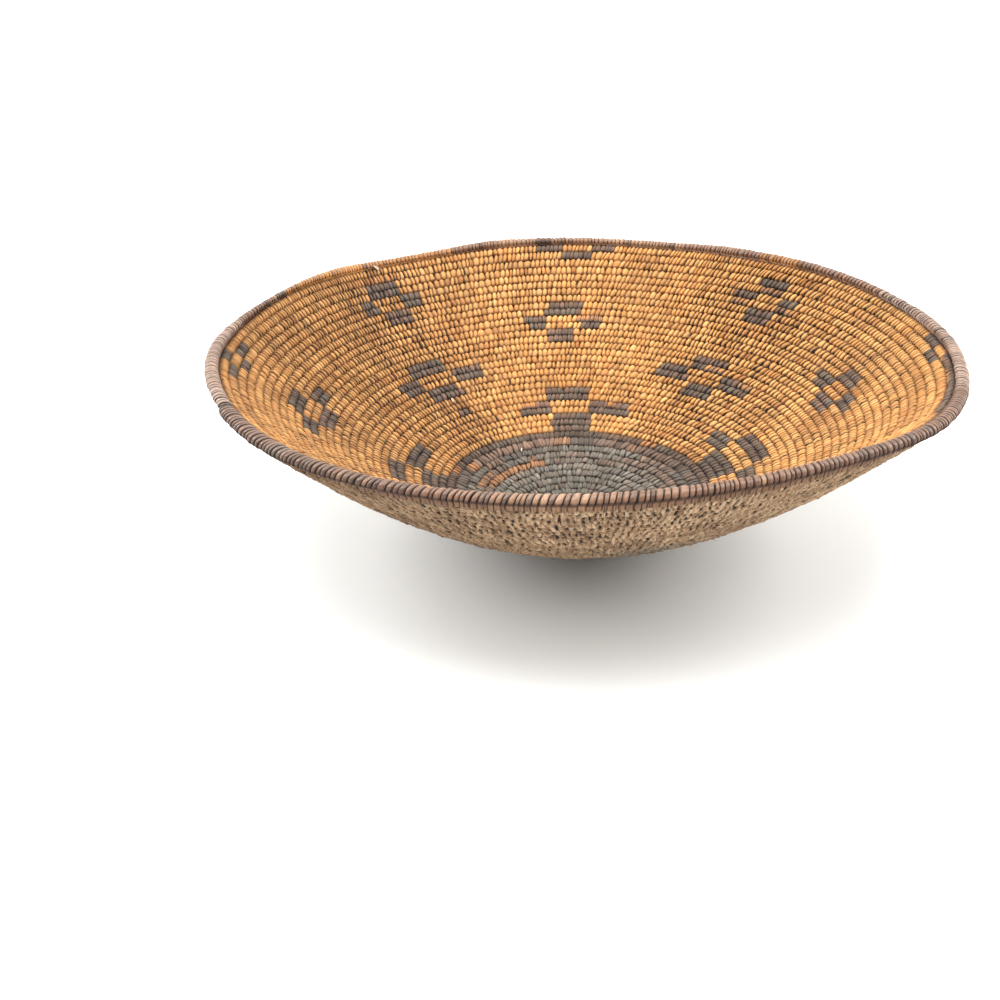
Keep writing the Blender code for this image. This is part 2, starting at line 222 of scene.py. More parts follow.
# ---------------------------------------------------------------------- colours
WILLOW = np.array([0.560, 0.255, 0.070])
WILLOW_PALE = np.array([0.650, 0.358, 0.126])
WILLOW_BROWN = np.array([0.330, 0.122, 0.032])
CHARCOAL = np.array([0.108, 0.084, 0.066])
ASH = np.array([0.200, 0.184, 0.148])
CLAW_BROWN = np.array([0.170, 0.104, 0.072])
CLAW_PINK = np.array([0.235, 0.142, 0.098])
CLAW_TAN = np.array([0.350, 0.185, 0.100])
CLAW_ORANGE = np.array([0.430, 0.190, 0.072])
OUT_TAN = np.array([0.290, 0.176, 0.096])
OUT_PALE = np.array([0.495, 0.345, 0.212])
OUT_BROWN = np.array([0.150, 0.080, 0.042])
# dirt and painted shade for the light splints' grooves and slits
DIRT_AND_PAINTED_SHADE = np.array([0.185, 0.074, 0.029])
# painted shade for the dark splints' grooves and slits
SOOT_AND_PAINTED_SHADE = np.array([0.034, 0.026, 0.021])
# near black painted shade for holes, slits, gaps and seams
PAINTED_HOLE_SHADE = np.array([0.012, 0.007, 0.005])

# Dyed splints in the dark centre: row, from, to, colour, strength.
RUNS = [
    (29, 161, 169, CLAW_ORANGE, 0.9), (29, 46, 55, CLAW_ORANGE, 0.9), (29, 1, 19, CLAW_PINK, 0.5),
    (30, 150, 159, CLAW_ORANGE, 0.85), (30, 101, 150, CLAW_PINK, 0.85), (30, 90, 101, CLAW_TAN, 0.95),
    (30, 41, 80, CLAW_PINK, 0.8), (30, 53, 58.6, CLAW_TAN, 0.95), (30, 30, 41, CLAW_TAN, 0.6), (30, 5, 30, CLAW_BROWN, 0.7),
    (31, 135, 148, CLAW_TAN, 0.7), (31, 41, 48.6, CLAW_TAN, 0.8), (31, 19, 41, CLAW_PINK, 0.7), (31, 48.6, 95, ASH, 0.8),
    (32, 150, 172, CLAW_ORANGE, 0.75), (32, 136, 150, CLAW_BROWN, 0.8), (32, 105, 121, CLAW_TAN, 0.65),
    (32, 75, 98, CLAW_PINK, 0.5), (32, 41, 59, CLAW_PINK, 0.6), (32, 20, 41, CLAW_PINK, 0.8), (32, 11, 20, CLAW_TAN, 0.6),
    (33, 107, 165, CLAW_ORANGE, 0.85), (33, 165, 180, CLAW_BROWN, 0.7), (33, 10, 107, CLAW_BROWN, 0.5),
    (30, 190, 235, CLAW_PINK, 0.7), (30, 300, 340, CLAW_TAN, 0.7), (31, 240, 275, CLAW_PINK, 0.6),
    (32, 200, 230, CLAW_TAN, 0.6), (33, 285, 330, CLAW_ORANGE, 0.7),
]


def lerp(a, b, f):
    f = np.asarray(f)[..., None]
    return a * (1 - f) + b * f


def stitch_colours(k, degrees, rng):
    """For each stitch of row k: its colour, the colour of its lower end, and
    whether it is dark. On plain and dark stitches the lower end is a darker
    copy, painted shade; in some figures it is another splint's colour."""
    n = len(degrees)
    u = degrees / 360.0
    kind = figure_at(k, degrees)
    tone = np.clip(0.5 + 0.34 * rng.standard_normal(n), 0, 1)
    stain = np.clip(0.55 * ripple(rng, u, 2, 13) + 0.28 * rng.standard_normal(n), 0, 1)
    light = lerp(WILLOW, WILLOW_PALE, 0.8 * tone)
    light = lerp(light, WILLOW_BROWN, 0.50 * stain)
    light = light * (1 + 0.10 * rng.standard_normal(n))[:, None]
    odd = rng.random(n) < 0.02
    light[odd] = lerp(light[odd], WILLOW_BROWN, np.full(odd.sum(), 0.7))
    shade = np.clip(0.35 + 0.35 * ripple(rng, u, 5, 30) + 0.3 * rng.standard_normal(n), 0, 1)
    dark = lerp(CHARCOAL, ASH, 0.6 * shade)
    dark = lerp(dark, CLAW_BROWN, np.clip(0.35 + 0.4 * rng.standard_normal(n), 0, 1))
    brownish = lerp(CLAW_BROWN, CLAW_PINK, np.clip(0.6 + 0.35 * rng.standard_normal(n), 0, 1))
    brownish = lerp(brownish, CHARCOAL, 0.7 * (rng.random(n) < 0.2))
    tans = lerp(CLAW_TAN, light, np.clip(0.4 + 0.4 * rng.standard_normal(n), 0, 1))
    if k > WALL_ROUNDS:
        # the dark centre: charcoal, ashy towards the knot, with runs of dyed splints
        inner = float(np.clip((k - 30) / 3.0, 0, 1))
        out = lerp(lerp(CHARCOAL, ASH, 0.35 * shade), lerp(CHARCOAL, ASH, 0.75 + 0.25 * shade), np.full(n, inner))
        out = lerp(out, CLAW_BROWN, np.clip((0.55 - 0.3 * inner) * ripple(rng, u, 3, 12) + 0.1, 0, 0.6))
        for row, a, b, colour, strength in RUNS:
            if row == k:
                away = (degrees - a) % 360
                run = smooth(away / 1.5) * smooth((b - a - away) / 1.5) * (away < b - a)
                run = run * np.clip(1.0 - 0.45 * np.abs(rng.standard_normal(n)) * (strength < 0.84), 0, 1)
                out = lerp(out, colour[None] * (1 + 0.12 * rng.standard_normal(n))[:, None], strength * run)
        out = out * (1 + 0.13 * rng.standard_normal(n))[:, None]
        out = np.clip(out, 0.01, 1)
        # the lower end a darker copy: painted shade
        return out, out * 0.8, np.ones(n, bool)
    # plain stitches: the lower end a darker copy, painted shade
    out, low = light, light * 0.92
    is_dark, is_brown, dash, mix = (kind == q for q in (DARK, BROWN, DASHED, MIXED))
    out = np.where(is_dark[:, None], dark, out)
    # dark stitches: the lower end a darker copy, painted shade
    low = np.where(is_dark[:, None], dark * 0.65, low)
    out = np.where(is_brown[:, None], brownish, out)
    low = np.where(is_brown[:, None], CHARCOAL[None], low)
    out = np.where(dash[:, None], tans, out)
    low = np.where(dash[:, None], CHARCOAL[None], low)
    pick = np.where((rng.random(n) < 0.5)[:, None], brownish, tans)
    out = np.where(mix[:, None], pick, out)
    low = np.where(mix[:, None], CLAW_BROWN[None] * 0.8, low)
    topped = kind == TOPPED
    low = np.where(topped[:, None], light, low)
    out = np.where(topped[:, None], dark * 0.8, out)
    return np.clip(out, 0.01, 1), np.clip(low, 0.01, 1), (kind > 0)


# ------------------------------------------------------------------- mesh tools
def grid_mesh(name, points, colour, rough, grain, lines=8):
    """A closed tube from a grid of points (along, around, xyz), with its colour,
    roughness and grain coordinates, and end caps."""
    A, B, _ = points.shape
    verts = points.reshape(-1, 3)
    i = np.arange(A - 1)[:, None]
    j = np.arange(B)[None, :]
    j2 = (j + 1) % B
    quads = np.stack([i * B + j + 0 * j2, (i + 1) * B + j, (i + 1) * B + j2, i * B + j2 + 0 * j], -1).reshape(-1, 4)
    nq = len(quads)
    caps = [np.arange(B), (A - 1) * B + np.arange(B)[::-1]]
    loops = np.concatenate([quads.ravel()] + caps)
    starts = np.concatenate([np.arange(nq) * 4, [nq * 4, nq * 4 + B]])
    totals = np.concatenate([np.full(nq, 4), [B, B]])
    mesh = bpy.data.meshes.new(name)
    mesh.vertices.add(len(verts))
    mesh.vertices.foreach_set("co", verts.astype(np.float32).ravel())
    mesh.loops.add(len(loops))
    mesh.loops.foreach_set("vertex_index", loops.astype(np.int32))
    mesh.polygons.add(len(starts))
    mesh.polygons.foreach_set("loop_start", starts.astype(np.int32))
    mesh.polygons.foreach_set("loop_total", totals.astype(np.int32))
    mesh.update(calc_edges=True)
    # surface coordinates
    ii, jj = np.broadcast_arrays(i, j)
    corner_i = np.stack([ii, ii + 1, ii + 1, ii], -1).reshape(-1)
    corner_j = np.stack([jj, jj, jj + 1, jj + 1], -1).reshape(-1)
    g = np.concatenate([grain, grain[:, :1] + np.array([0.0, grain[0, -1, 1] * B / (B - 1) - grain[0, 0, 1]])], axis=1)
    uv = g[corner_i, corner_j]
    cap_uv = np.concatenate([grain[0], grain[-1, ::-1]])
    layer = mesh.uv_layers.new(name="grain")
    layer.data.foreach_set("uv", np.concatenate([uv, cap_uv]).astype(np.float32).ravel())
    # folded strip for a texture: so many lines, one under the other
    per = int(math.ceil((A - 1) / lines))
    line = np.minimum(np.repeat(np.arange(A - 1), B * 4) // per, lines - 1)
    local_i = corner_i - line * per
    m = 0.04
    bu = 0.004 + 0.992 * local_i / per
    bv = (line + m + (1 - 2 * m) * corner_j / B) / lines
    cap_b = np.concatenate([np.stack([np.full(B, 0.001), (m + (1 - 2 * m) * np.arange(B) / B) / lines], -1)] * 2)
    bake = mesh.uv_layers.new(name="OFBake")
    bake.data.foreach_set("uv", np.concatenate([np.stack([bu, bv], -1), cap_b]).astype(np.float32).ravel())
    col = mesh.attributes.new("tint", "FLOAT_COLOR", "POINT")
    rgba = np.concatenate([colour.reshape(-1, 3), np.ones((A * B, 1))], 1)
    col.data.foreach_set("color", rgba.astype(np.float32).ravel())
    ro = mesh.attributes.new("worn", "FLOAT", "POINT")
    ro.data.foreach_set("value", rough.astype(np.float32).ravel())
    mesh.shade_smooth()
    obj = bpy.data.objects.new(name, mesh)
    bpy.context.scene.collection.objects.link(obj)
    return obj


# positions across a stitch, dense at its edges
T = np.array([-1.0, -0.92, -0.74, -0.42, 0.0, 0.42, 0.74, 0.92])
# positions across a row: inner side from the rimward groove inwards, then the outer side back
X_IN = np.array([-1.0, -0.96, -0.84, -0.60, -0.22, 0.22, 0.60, 0.84, 0.96])
X_OUT = np.array([1.0, 0.94, 0.80, 0.60, 0.32, 0.0, -0.32, -0.60, -0.80, -0.94])
X = np.concatenate([X_IN, X_OUT])
INSIDE = np.arange(len(X)) < len(X_IN)


def layout(rng, length, width=STITCH, jitter=0.20):
    """Edges of the stitches along a coil, as shares of its length."""
    n = max(5, int(round(length / width)))
    w = np.clip(np.exp(jitter * rng.standard_normal(n)), 0.62, 1.7)
    edges = np.concatenate([[0], np.cumsum(w)])
    return edges / edges[-1], n


def columns(edges, n):
    """Every column along the coil: its share, its stitch and where across it."""
    half = np.diff(edges) / 2
    mid = (edges[1:] + edges[:-1]) / 2
    u = (mid[:, None] + half[:, None] * T[None, :]).ravel()
    stitch = np.repeat(np.arange(n), len(T))
    t = np.tile(T, n)
    return np.append(u, 1.0), np.append(stitch, n - 1), np.append(t, 1.0)


def sewn_round(name, k, lo=None, hi=None, u_range=(0.0, 1.0), seed=0):
    """One round of sewing: row k from the rim, its stitches inside and out."""
    rng = np.random.default_rng(4200 + 17 * k + seed)
    mid_s = float(groove(max(k - 0.5, 0.4)))
    radius = float(surface(mid_s, 0)[0])
    length = 2 * np.pi * radius * (u_range[1] - u_range[0])
    edges, n = layout(rng, length, 2.6 if k <= 2 else STITCH)
    share, stitch, t = columns(edges, n)
    u = u_range[0] + share * (u_range[1] - u_range[0])
    A, B = len(u), len(X)
    # each stitch's own character
    height = np.clip(0.12 * rng.standard_normal(n), -0.3, 0.22)
    plump = np.clip(1 + 0.14 * rng.standard_normal(n), 0.7, 1.3)
    top = 0.16 * rng.standard_normal(n)
    low_end = 0.16 * rng.standard_normal(n)
    gap = 0.03 * rng.random(n + 1)
    wide = rng.random(n + 1) < 0.10
    gap[wide] = 0.06 + 0.22 * rng.random(wide.sum())
    split = (rng.random(n) < 0.12) * rng.uniform(0.5, 1.0, n)
    split_at = rng.uniform(-0.3, 0.3, n)
    tilt = 0.10 * rng.standard_normal(n + 1)            # each slit leans its own way
    edge_angle = angle_at(u_range[0] + edges * (u_range[1] - u_range[0]))
    lean_wave = 0.08 + 0.08 * ripple(rng, edges, 3, 25)
    lean_wave = lean_wave + local(edge_angle, ((58.0, 34.0, 0.22 if k < 7 else 0.13),))
    centre = k > WALL_ROUNDS + 1
    if centre:
        tilt = 2.2 * tilt
        height = 1.9 * height
        top, low_end = 2.2 * top, 2.2 * low_end
    tilt = tilt + lean_wave
    # how much black painted shade each slit takes
    slit_shade_amount = np.clip(0.20 + 0.35 * rng.standard_normal(n + 1), 0, 0.8)
    # stitches pull apart more where the wall turns, at the two ends and the front
    turning = smooth((np.abs(np.cos(edge_angle)) - 0.30) / 0.45)
    turning = np.maximum(turning, 0.7 * (np.sin(edge_angle) < -0.1))
    opened = (rng.random(n + 1) < 0.18 + 0.40 * turning) * rng.uniform(0.45, 1.0, n + 1)
    opened_side = np.where(rng.random(n + 1) < 0.7, 1.0, -1.0)
    gap = np.maximum(gap, 0.05 * opened)
    # here and there a real gap shows between two stitches
    gaping = np.random.default_rng(900 + k).random(n + 1) < (0.0 if centre else 0.17) * turning
    gap = np.where(gaping, 0.26, gap)
    hole = (0.6 + 0.4 * rng.random(n + 1)) * (rng.random(n + 1) < 0.90)
    hole_x = rng.uniform(-0.60, 0.60, n + 1)
    hole_long = rng.uniform(0.40, 0.95, n + 1)
    hole_wide = rng.uniform(0.22, 0.58, n + 1)
    deg = np.degrees(angle_at(u_range[0] + (edges[1:] + edges[:-1]) / 2 * (u_range[1] - u_range[0])))
    colour, low_colour, dark = stitch_colours(k, deg, rng)
    if not centre:
        # on the wall the dark splints have worn browner than in the middle
        colour = np.where(dark[:, None], colour * np.array([1.08, 0.96, 0.86]), colour)
        low_colour = np.where(dark[:, None], low_colour * np.array([1.08, 0.96, 0.86]), low_colour)

    x = X[None, :] + np.zeros(A)[:, None]
    tt = t[:, None] + np.zeros(B)[None, :]
    st = stitch[:, None] + np.zeros(B, int)[None, :]
    nxt = np.minimum(st + 1, n)
    inside = INSIDE[None, :] & np.ones(A, bool)[:, None]
    fade = (smooth(share / 0.01) * smooth((1 - share) / 0.01))[:, None]
    s0 = groove_at(k - 1, u) if lo is None else lo(u)
    s1 = groove_at(k, u) if hi is None else hi(u)
    sc, w = (s0 + s1) / 2, (s1 - s0) / 2 + 0.28
    sc, w = sc[:, None], w[:, None]

    # plan of a stitch: narrower towards its ends, and leaning
    side = (tt + 1) / 2
    lean = (tilt[st] * (1 - side) + tilt[nxt] * side) * x * w * fade
    omega = 1 - (0.28 if centre else 0.42) * np.abs(x) ** 2.8
    omega = omega * plump[st] ** 0.3
    here = np.where(tt < 0, st, nxt)
    open_here = opened[here] * smooth((opened_side[here] * x + 0.35) / 0.55)
    omega = omega - 0.20 * open_here * np.clip(opened_side[here] * x, 0, 1)
    edge_gap = np.where(tt < 0, gap[st], gap[nxt])
    tau = np.abs(tt) / (omega * (1 - edge_gap))
    round_in = 1 - np.clip(tau, 0, 1) ** 2.3
    # a split splint shows a fine slit along its middle
    slit = split[st] * np.exp(-((tt - split_at[st]) / 0.20) ** 2)
    furrow = (dark & (rng.random(n) < 0.75))[st] * np.exp(-((tt - 0.5 * split_at[st]) / 0.20) ** 2)

    # outline of the row's section; a stitch's ends reach over the groove
    shape = np.clip(1 - np.abs(np.clip(x, -1, 1)) ** 2.9, 0, 1) ** (1 / 2.9)
    turn = np.maximum(smooth((np.abs(np.cos(angle_at(u))) - 0.30) / 0.45), 0.7 * (np.sin(angle_at(u)) < -0.1))[:, None]
    depth = np.where(dark, 0.62 if centre else 0.75, 1.20)[st] * plump[st] * (1 + 0.12 * turn)
    bulge = 1.15 if centre else 2.05
    relief_in = depth * (round_in - 1) - 0.20 * slit - 0.40 * furrow + height[st] - 0.9 * open_here * smooth((tau - 0.72) / 0.24)
    n_in = 0.70 - bulge * (1 - shape) + relief_in * smooth(shape / 0.5)
    ends = np.where(x < 0, top[st], low_end[st])
    reach = smooth((np.abs(x) - 0.45) / 0.4) * (0.22 * (1 - np.clip(tau, 0, 1) ** 2) - 0.12)
    s_in = sc + x * w + np.sign(x) * reach + ends * smooth((np.abs(x) - 0.5) / 0.4)

    # outer side: flat rows, ragged splints, and a hole where three stitches meet
    flat = np.clip(1 - np.abs(np.clip(x, -1, 1)) ** 4.5, 0, 1) ** (1 / 4.5)
    ragged = 0.13 * rng.standard_normal((A, B)) + 0.18 * rng.standard_normal(n)[st]
    edge_at = np.where(tt < 0, st, nxt)
    across = (1 - np.abs(tt)) / hole_wide[edge_at]
    along = (x - hole_x[edge_at]) / hole_long[edge_at]
    pits = hole[edge_at] * np.exp(-np.abs(across) ** 3) * np.exp(-np.abs(along) ** 5)
    round_out = np.sqrt(np.clip(1 - np.clip(np.abs(tt), 0, 1) ** 3.2, 0, 1))
    relief_out = 0.45 * (round_out - 1) - 1.15 * pits + ragged
    n_out = -2.35 - flat * 2.85 - relief_out * smooth(flat / 0.5) - 0.20 * (1 - flat)
    nn = np.where(inside, n_in, n_out)
    ss = np.where(inside, s_in, sc + x * w + 0.08 * rng.standard_normal((A, B)) * (np.abs(x) < 0.9))
    r, z = surface(ss, nn)
    ang = angle_at(u)[:, None] + lean / np.maximum(r, 3.0)
    z = np.where(inside, z, np.maximum(z, 0.02 + 0.05 * rng.random((A, B))))
    z = np.maximum(z, 0.02)
    P = place(r, z, ang)

    # colours: the splint with a painted highlight along its crown, and dirt with painted shade in the grooves, slits
    # and corners
    c_in = lerp(colour[st], low_colour[st], smooth((x + 0.05) / 0.75) * 0.9)
    # painted highlight along each stitch's crown
    painted_crown_highlight = np.clip(1 - (tt / 0.75) ** 2, 0, 1) * np.clip(1 - (x / 0.85) ** 2, 0, 1)
    c_in = c_in * (1 + 0.16 * (painted_crown_highlight - 0.35))[..., None]
    # painted shade in the slits between stitches, stronger where the wall turns
    shade_slit = np.clip((tau - 0.70 + (0.06 if centre else 0.31) * turn * (1 - 0.30 * smooth(np.cos(angle_at(u)) / 0.6)[:, None])) / 0.22, 0, 1)
    groove_grime_and_shade = np.clip(0.80 + 0.32 * ripple(rng, u, 3, 16)[:, None], 0.35, 1.1)
    # painted shade in the grooves between rows, varied round the bowl
    shade_groove = np.clip((np.abs(x) - 0.64) / 0.24, 0, 1) * groove_grime_and_shade
    # painted shade in the corners where slits meet the grooves
    corner_shade = np.clip((tau - 0.86) / 0.25, 0, 1) * np.clip((np.abs(x) - 0.35) / 0.4, 0, 1)
    # dirt and painted shade together, lighter on the lower rows
    less_dirt_and_shade = float(smooth((k - 6) / 12.0)) * (1 - turn)
    dirt_and_painted_shade = np.clip((0.57 - 0.16 * less_dirt_and_shade + 0.29 * turn) * shade_slit + (0.96 - 0.14 * less_dirt_and_shade - 0.40 * turn) * shade_groove + 0.3 * corner_shade + 0.3 * slit + 0.6 * furrow, 0, 0.95)
    # painted shade along the top of the first row, under the rim, stronger where the wall turns
    if k == 1:
        dirt_and_painted_shade = np.maximum(dirt_and_painted_shade, (0.35 + 0.45 * turn) * smooth((-x - 0.10) / 0.75))
    # painted shade: the light stitches darker on the left side of the bowl
    painted_left_side_shade = 1 - 0.11 * smooth((0.10 - np.cos(angle_at(u))) / 0.7)[:, None, None]
    is_dark = dark[st]
    c_in = np.where(is_dark[..., None], c_in, c_in * painted_left_side_shade)
    # the grooves, slits and corners take dirt and painted shade
    c_in = lerp(c_in, np.where(is_dark[..., None], SOOT_AND_PAINTED_SHADE, DIRT_AND_PAINTED_SHADE * (1 - 0.45 * turn[..., None])), dirt_and_painted_shade)
    # black painted shade deep in the slits, in opened slits and in the real gaps
    painted_black_shade = np.clip((tau - 0.88) / 0.12, 0, 1) * np.clip(slit_shade_amount[here] + 0.4 * corner_shade, 0, 1)
    painted_black_shade = np.maximum((0.30 + 0.35 * turn) * painted_black_shade, (0.70 + 0.27 * turn) * np.clip((tau - 0.76 + 0.22 * turn) / 0.12, 0, 1) * smooth(open_here / 0.4))
    shows = gaping[here] * smooth((np.abs(tt) - 0.62) / 0.14) * smooth((0.80 - np.abs(x)) / 0.2)
    painted_black_shade = np.maximum(painted_black_shade, 0.97 * shows)
    c_in = lerp(c_in, PAINTED_HOLE_SHADE, painted_black_shade)
    # outer side, weathered: pale and brown strands along each stitch
    strand = np.clip(0.42 + 0.20 * rng.standard_normal(n), 0, 1)[st]
    thread = rng.standard_normal((n, len(T)))[st, np.minimum(np.arange(A) % len(T), len(T) - 1)[:, None] + np.zeros(B, int)]
    base_out = lerp(OUT_TAN, OUT_PALE, np.clip(strand * 0.8 + 0.30 * thread, 0, 1))
    weather = 0.22 + 0.26 * ripple(rng, u, 4, 22)[:, None] + 0.16 * rng.standard_normal((A, B)) - 0.2 * thread
    base_out = lerp(base_out, OUT_BROWN, np.clip(weather, 0, 0.85))
    # a grey patch low on the outside of the front
    degrees = np.degrees(angle_at(u))[:, None] % 360
    patch = np.exp(-((degrees - 284) / 11) ** 2) * np.exp(-((ss - 92) / 20) ** 2)
    patch = np.clip(patch * (1 + 0.5 * rng.standard_normal((A, B))), 0, 1)
    base_out = lerp(base_out, np.array([0.150, 0.138, 0.112]), 0.75 * patch)
    # painted shade in the outside's slits and grooves, and black painted shade in its holes
    out_slit_shade = np.clip((np.abs(tt) - 0.80) / 0.2, 0, 1)
    out_groove_shade = np.clip((np.abs(x) - 0.86) / 0.12, 0, 1)
    c_out = lerp(base_out, OUT_BROWN * 0.5, np.clip(0.55 * out_slit_shade + 0.50 * out_groove_shade, 0, 0.85))
    # painted shade: the outside darker and warmer towards the left side
    c_out = c_out * (1 - np.array([0.35, 0.39, 0.43]) * smooth((0.15 - np.cos(angle_at(u))) / 0.9)[:, None, None])
    c_out = lerp(c_out, PAINTED_HOLE_SHADE, np.clip(3.8 * pits - 0.30, 0, 0.98))
    colour_all = np.where(inside[..., None], c_in, c_out)
    rough = np.where(inside, np.where(is_dark, 0.52, 0.50) + 0.25 * dirt_and_painted_shade, 0.85)
    length_mm = u * 2 * np.pi * radius
    gb = np.array([0, .3, .9, 1.8, 3.1, 4.5, 5.8, 6.7, 7.3, 7.9, 8.6, 9.4, 10.4, 11.6, 12.9, 14.2, 15.3, 16.1, 16.8])
    grain = np.stack([length_mm[:, None] + lean + 0 * x, gb[None, :] + 0 * lean], -1)
    lines = 8 if radius > 90 else 5 if radius > 35 else 3
    return grid_mesh(name, P, np.clip(colour_all, 0.004, 1), rough, grain, lines)


# ------------------------------------------------------------------------- rim
# The wrapped coil's section is an ellipse, wide and level; up and over are
# distances up the slope from the rim groove and over the inner surface.
RIM_WIDE, RIM_HIGH = 2.95, 2.40
RIM_MIDDLE = (2.10, -1.285)
RIM_SWELLS = ((182, 11, 0.16), (156.0, 23.0, -0.42), (141.0, 9.0, 0.20), (134.0, 6.0, 0.14), (104.0, 9.0, 0.22), (57.0, 6.0, 0.13), (203.0, 13.0, 0.10), (228.0, 17.0, 0.16), (18.0, 16.0, -0.18), (346.0, 15.0, 0.10), (90.0, 40.0, -0.12), (50.0, 12.0, 0.14))
RIM_SHIFTS = ((12.0, 8.0, 1.15), (347.0, 9.0, -1.45), (319.0, 13.0, 2.8))     # outwards, where the coil's two ends lie side by side
LEVEL = (0.743, -0.669)         # the horizontal, in those two directions
UPRIGHT = (0.669, 0.743)
# the splints' ends below it, over the outside of the first round, and the way back inside
RIM_SKIRT = ((0.75, -3.90, 0.45), (0.1, -4.2, 0.2), (-0.6, -4.6, 0.05), (-1.3, -4.95, 0.0),
             (-1.5, -4.2, 0.0), (-1.3, -2.6, 0.0), (-1.1, -1.2, 0.0), (-0.8, -0.35, 0.0))
COIL_END = 211.5                # where the rim's coil ends, a small step


def rim_profile():
    """The section's points (up, over), how far each swells, and its kind: 1 on
    the wraps, 0.5 on the splint ends, 0 inside."""
    theta = np.radians(np.array([206, 192, 176, 160, 143, 126, 109, 92, 75, 58, 41, 24, 7, -10, -27, -44, -60, -74]))
    up = RIM_MIDDLE[0] + RIM_WIDE * np.cos(theta) * LEVEL[0] + RIM_HIGH * np.sin(theta) * UPRIGHT[0]
    over = RIM_MIDDLE[1] + RIM_WIDE * np.cos(theta) * LEVEL[1] + RIM_HIGH * np.sin(theta) * UPRIGHT[1]
    moves = np.clip(np.arange(len(up)) / 3.0, 0.15, 1)
    wraps = np.stack([up, over, moves, np.ones(len(up))], -1)
    skirt = np.array([(a, b, c, 0.5 if i < 4 else 0.0) for i, (a, b, c) in enumerate(RIM_SKIRT)])
    return np.concatenate([wraps, skirt])


def rim_colours(degrees, rng):
    """Devil's claw splints of the rim, with lighter and redder runs."""
    n = len(degrees)
    u = degrees / 360.0
    brown = np.array([0.158, 0.074, 0.042])
    dark = np.array([0.070, 0.043, 0.032])
    grey = np.array([0.115, 0.086, 0.068])
    tan = np.array([0.385, 0.218, 0.126])
    orange = np.array([0.500, 0.225, 0.066])
    pink = np.array([0.272, 0.140, 0.082])
    pale = np.array([0.392, 0.270, 0.204])
    c = lerp(brown, dark, np.clip(0.22 + 0.35 * ripple(rng, u, 3, 14) + 0.18 * rng.standard_normal(n), 0, 1))
    c = lerp(c, pink, np.clip(0.12 + 0.3 * ripple(rng, u, 2, 9) + 0.13 * rng.standard_normal(n), 0, 0.7))
    d = degrees % 360
    for a, b, colour, amount in (
            (0, 24, pale, 0.62), (24, 41, pink, 0.65), (41, 50, orange, 0.60), (50, 66, pink, 0.65), (66, 81, tan, 0.75), (81, 93, tan, 0.55),
            (93, 95.5, dark, 0.8), (95.5, 104, tan, 0.70), (104, 112, pink, 0.65), (112, 130.6, orange, 0.62),
            (131, 142, orange, 0.95), (142, 155.5, orange, 0.75), (155.5, 158.5, grey, 0.85), (158.5, 161, tan, 0.8),
            (161, 176, pink, 0.5), (172, 211.3, pale, 0.78), (211.7, 226, dark, 0.35), (226, 229, grey, 0.8),
            (229, 247, dark, 0.40), (247, 257, pink, 0.35), (257, 268, tan, 0.70), (268, 284, pink, 0.45),
            (284, 318, brown, 0.35), (322, 336, pink, 0.5), (336, 360, pale, 0.75)):
        f = smooth((d - a) / 0.8 + 0.5) * smooth((b - d) / 0.8 + 0.5)
        c = lerp(c, colour, amount * f)
    odd = rng.random(n)
    c = lerp(c, grey, 0.55 * (odd < 0.04))
    c = lerp(c, tan, 0.45 * ((odd > 0.05) & (odd < 0.11)))
    c = lerp(c, dark, 0.60 * ((odd > 0.11) & (odd < 0.16)))
    return np.clip(c * (1 + 0.12 * rng.standard_normal(n))[:, None], 0.01, 1)


def rim_lean(angle):
    """How far a wrap runs ahead for each mm on its way in over the coil."""
    return 0.13 + local(angle, ((216.0, 34.0, 0.24), (262.0, 26.0, 0.05), (352.0, 24.0, 0.24), (85.0, 60.0, -0.03)))


